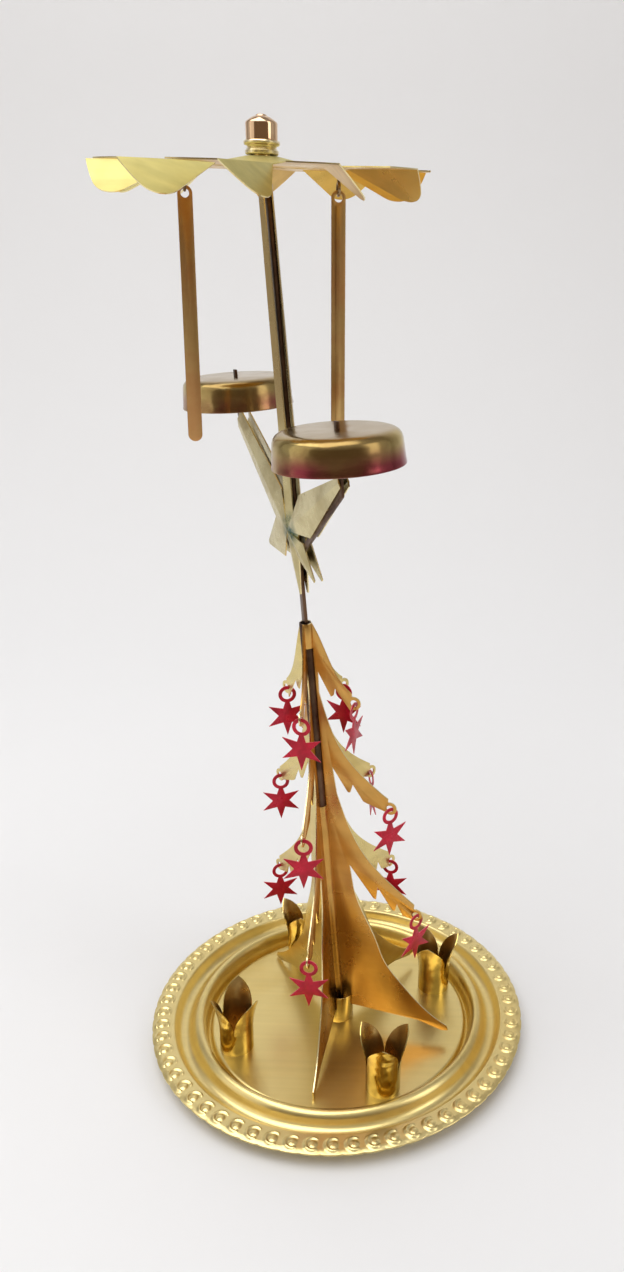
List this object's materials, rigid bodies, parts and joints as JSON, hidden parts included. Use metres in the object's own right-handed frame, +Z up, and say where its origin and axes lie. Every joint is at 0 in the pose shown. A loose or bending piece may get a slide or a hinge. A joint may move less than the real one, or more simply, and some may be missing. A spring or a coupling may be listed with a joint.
{
  "type": "angel chime carousel",
  "caption": "Leaning brass table carousel with a tree of red stars over candle cups, a star figure with bells, and a bladed rotor that carries strikers.",
  "frame": {"origin": "middle of the tray on the table top", "axes": "+Z up, -Y towards the viewer of the picture"},
  "size_m": [0.154, 0.154, 0.3447],
  "materials": {
    "brass": "brushed",
    "dark_brass": "dark patina",
    "aged_brass": "aged",
    "copper_brass": "polished",
    "wire": "drawn wire",
    "steel": "ground",
    "red_lacquer": "gloss"
  },
  "bodies": {
    "stand": {"base_plate": "brass", "tray_rivets": "brass", "tree_socket": "brass", "tree_tube": "dark_brass", "tree_sheet_front": "brass", "tree_sheet_back": "brass", "pole_rod": "dark_brass", "needle": "steel", "star_front_shell": "aged_brass", "star_back_shell": "aged_brass", "bell_arm": "dark_brass", "candle_cup_right": "brass", "candle_cup_back": "brass", "candle_cup_left": "brass", "candle_cup_front": "brass"},
    "rotor": {"rotor": "brass", "rotor_collar": "brass", "rotor_cap": "copper_brass", "bearing_cup": "brass"},
    "hook_left": {"hook_left": "wire"},
    "striker_left": {"striker_left": "aged_brass"},
    "hook_right": {"hook_right": "wire"},
    "striker_right": {"striker_right": "aged_brass"},
    "bell_left": {"bell_left": "aged_brass"},
    "bell_right": {"bell_right": "aged_brass"},
    "star_front_top": {"star_front_top": "red_lacquer"},
    "star_front_middle": {"star_front_middle": "red_lacquer"},
    "star_front_low": {"star_front_low": "red_lacquer"},
    "star_right_top": {"star_right_top": "red_lacquer"},
    "star_right_middle": {"star_right_middle": "red_lacquer"},
    "star_right_low": {"star_right_low": "red_lacquer"},
    "star_back_top": {"star_back_top": "red_lacquer"},
    "star_back_middle": {"star_back_middle": "red_lacquer"},
    "star_back_low": {"star_back_low": "red_lacquer"},
    "star_left_top": {"star_left_top": "red_lacquer"},
    "star_left_middle": {"star_left_middle": "red_lacquer"},
    "star_left_low": {"star_left_low": "red_lacquer"}
  },
  "joints": [
    {"name": "rotor_spin", "type": "hinge", "parent": "stand", "child": "rotor", "pos_m": [-0.02455, -0.00709, 0.34134], "axis": [0, 0, 1], "continuous": true},
    {"name": "hook_swing_left", "type": "hinge", "parent": "rotor", "child": "hook_left", "pos_m": [-0.04764, -0.01271, 0.33094], "axis": [-0.2419, 0.9703, 0], "range_deg": [-5, 5]},
    {"name": "striker_swing_left", "type": "hinge", "parent": "hook_left", "child": "striker_left", "pos_m": [-0.04764, -0.01271, 0.32239], "axis": [-0.2419, 0.9703, 0], "range_deg": [-3, 25]},
    {"name": "hook_swing_right", "type": "hinge", "parent": "rotor", "child": "hook_right", "pos_m": [-0.00146, -0.00121, 0.33165], "axis": [0.2419, -0.9703, 0], "range_deg": [-5, 5]},
    {"name": "striker_swing_right", "type": "hinge", "parent": "hook_right", "child": "striker_right", "pos_m": [-0.00146, -0.00121, 0.32309], "axis": [0.2419, -0.9703, 0], "range_deg": [-3, 25]},
    {"name": "bell_turn_left", "type": "hinge", "parent": "stand", "child": "bell_left", "pos_m": [-0.04283, 0.03631, 0.2626], "axis": [-0.0724, -0.0209, 0.9972], "continuous": true},
    {"name": "bell_turn_right", "type": "hinge", "parent": "stand", "child": "bell_right", "pos_m": [0.0022, -0.0454, 0.25633], "axis": [-0.0724, -0.0209, 0.9972], "continuous": true},
    {"name": "swing_front_top", "type": "hinge", "parent": "stand", "child": "star_front_top", "pos_m": [-0.01257, -0.01981, 0.14773], "axis": [-0.1736, -0.9848, 0], "range_deg": [-20, 20]},
    {"name": "swing_front_middle", "type": "hinge", "parent": "stand", "child": "star_front_middle", "pos_m": [-0.01086, -0.03053, 0.10457], "axis": [0.0523, -0.9986, 0], "range_deg": [-20, 20]},
    {"name": "swing_front_low", "type": "hinge", "parent": "stand", "child": "star_front_low", "pos_m": [-0.00843, -0.03769, 0.05725], "axis": [-0.0349, -0.9994, 0], "range_deg": [-20, 20]},
    {"name": "swing_right_top", "type": "hinge", "parent": "stand", "child": "star_right_top", "pos_m": [0.00562, -0.00787, 0.1493], "axis": [0.9298, -0.3681, 0], "range_deg": [-20, 20]},
    {"name": "swing_right_middle", "type": "hinge", "parent": "stand", "child": "star_right_middle", "pos_m": [0.01992, -0.01032, 0.10722], "axis": [0.5793, -0.8151, 0], "range_deg": [-12, 20]},
    {"name": "swing_right_low", "type": "hinge", "parent": "stand", "child": "star_right_low", "pos_m": [0.03119, -0.01167, 0.06067], "axis": [0.6871, -0.7266, 0], "range_deg": [-20, 20]},
    {"name": "swing_back_top", "type": "hinge", "parent": "stand", "child": "star_back_top", "pos_m": [0.00028, 0.0099, 0.14928], "axis": [0.342, 0.9397, 0], "range_deg": [-20, 20]},
    {"name": "swing_back_middle", "type": "hinge", "parent": "stand", "child": "star_back_middle", "pos_m": [0.01088, 0.01977, 0.1072], "axis": [0.9397, 0.342, 0], "range_deg": [-20, 20]},
    {"name": "swing_back_low", "type": "hinge", "parent": "stand", "child": "star_back_low", "pos_m": [0.01954, 0.02704, 0.06064], "axis": [0.1736, 0.9848, 0], "range_deg": [-20, 20]},
    {"name": "swing_left_top", "type": "hinge", "parent": "stand", "child": "star_left_top", "pos_m": [-0.02161, 0.00971, 0.14769], "axis": [-0.2756, 0.9613, 0], "range_deg": [-20, 20]},
    {"name": "swing_left_middle", "type": "hinge", "parent": "stand", "child": "star_left_middle", "pos_m": [-0.02618, 0.01944, 0.1045], "axis": [-0.1908, 0.9816, 0], "range_deg": [-20, 20]},
    {"name": "swing_left_low", "type": "hinge", "parent": "stand", "child": "star_left_low", "pos_m": [-0.02815, 0.02662, 0.05717], "axis": [-0.2756, 0.9613, 0], "range_deg": [-20, 20]}
  ]
}
